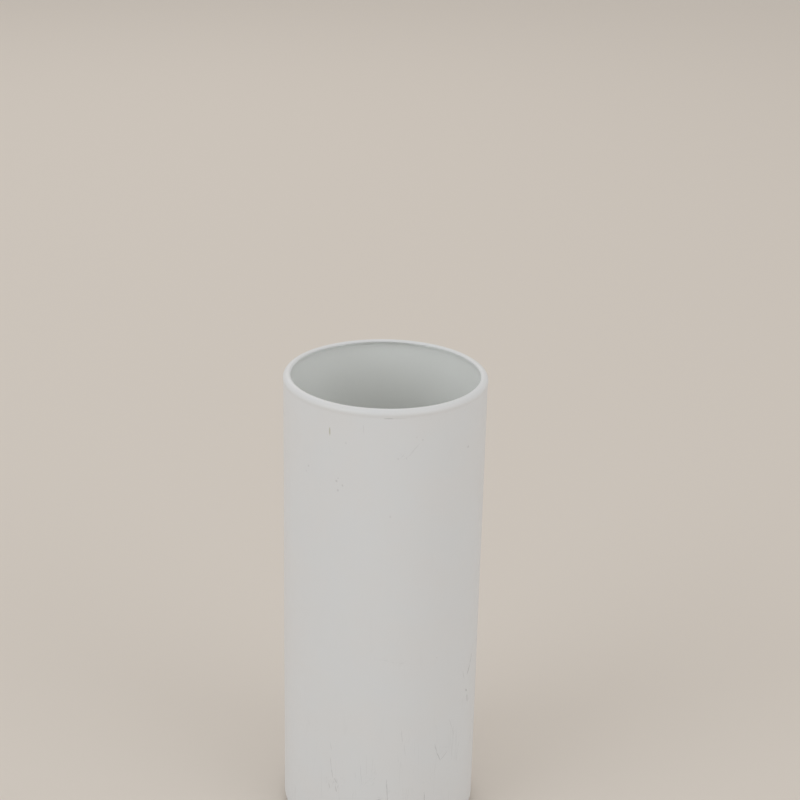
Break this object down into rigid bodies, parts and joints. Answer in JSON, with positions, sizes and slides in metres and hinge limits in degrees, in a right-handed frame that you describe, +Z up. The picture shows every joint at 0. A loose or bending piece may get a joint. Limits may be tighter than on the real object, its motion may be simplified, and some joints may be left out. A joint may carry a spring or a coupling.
{
  "type": "cylinder vase",
  "caption": "Tall straight cylinder vase: a thick-floored glass vessel in a satin white lacquer film, standing on small clear bumper pads.",
  "frame": {"origin": "on the table under the middle of the vase, in the plane of the bumper pads' feet", "axes": "+Z up the vase's axis; +X and +Y level, each 45 degrees from the bumper pads"},
  "size_m": [0.1276, 0.1276, 0.307],
  "materials": {
    "clear_glass": "fire-polished clear soda-lime glass, faintly green in its thickness",
    "white_lacquer": "sprayed satin white lacquer, lightly scuffed, with fine hairline scratches on its lower third",
    "clear_pad": "clear soft polyurethane, self-adhesive on its upper face"
  },
  "bodies": {
    "root": {"glass_vessel": "clear_glass", "white_lacquer": "white_lacquer", "bumper_pad_1": "clear_pad", "bumper_pad_2": "clear_pad", "bumper_pad_3": "clear_pad", "bumper_pad_4": "clear_pad"}
  },
  "joints": []
}
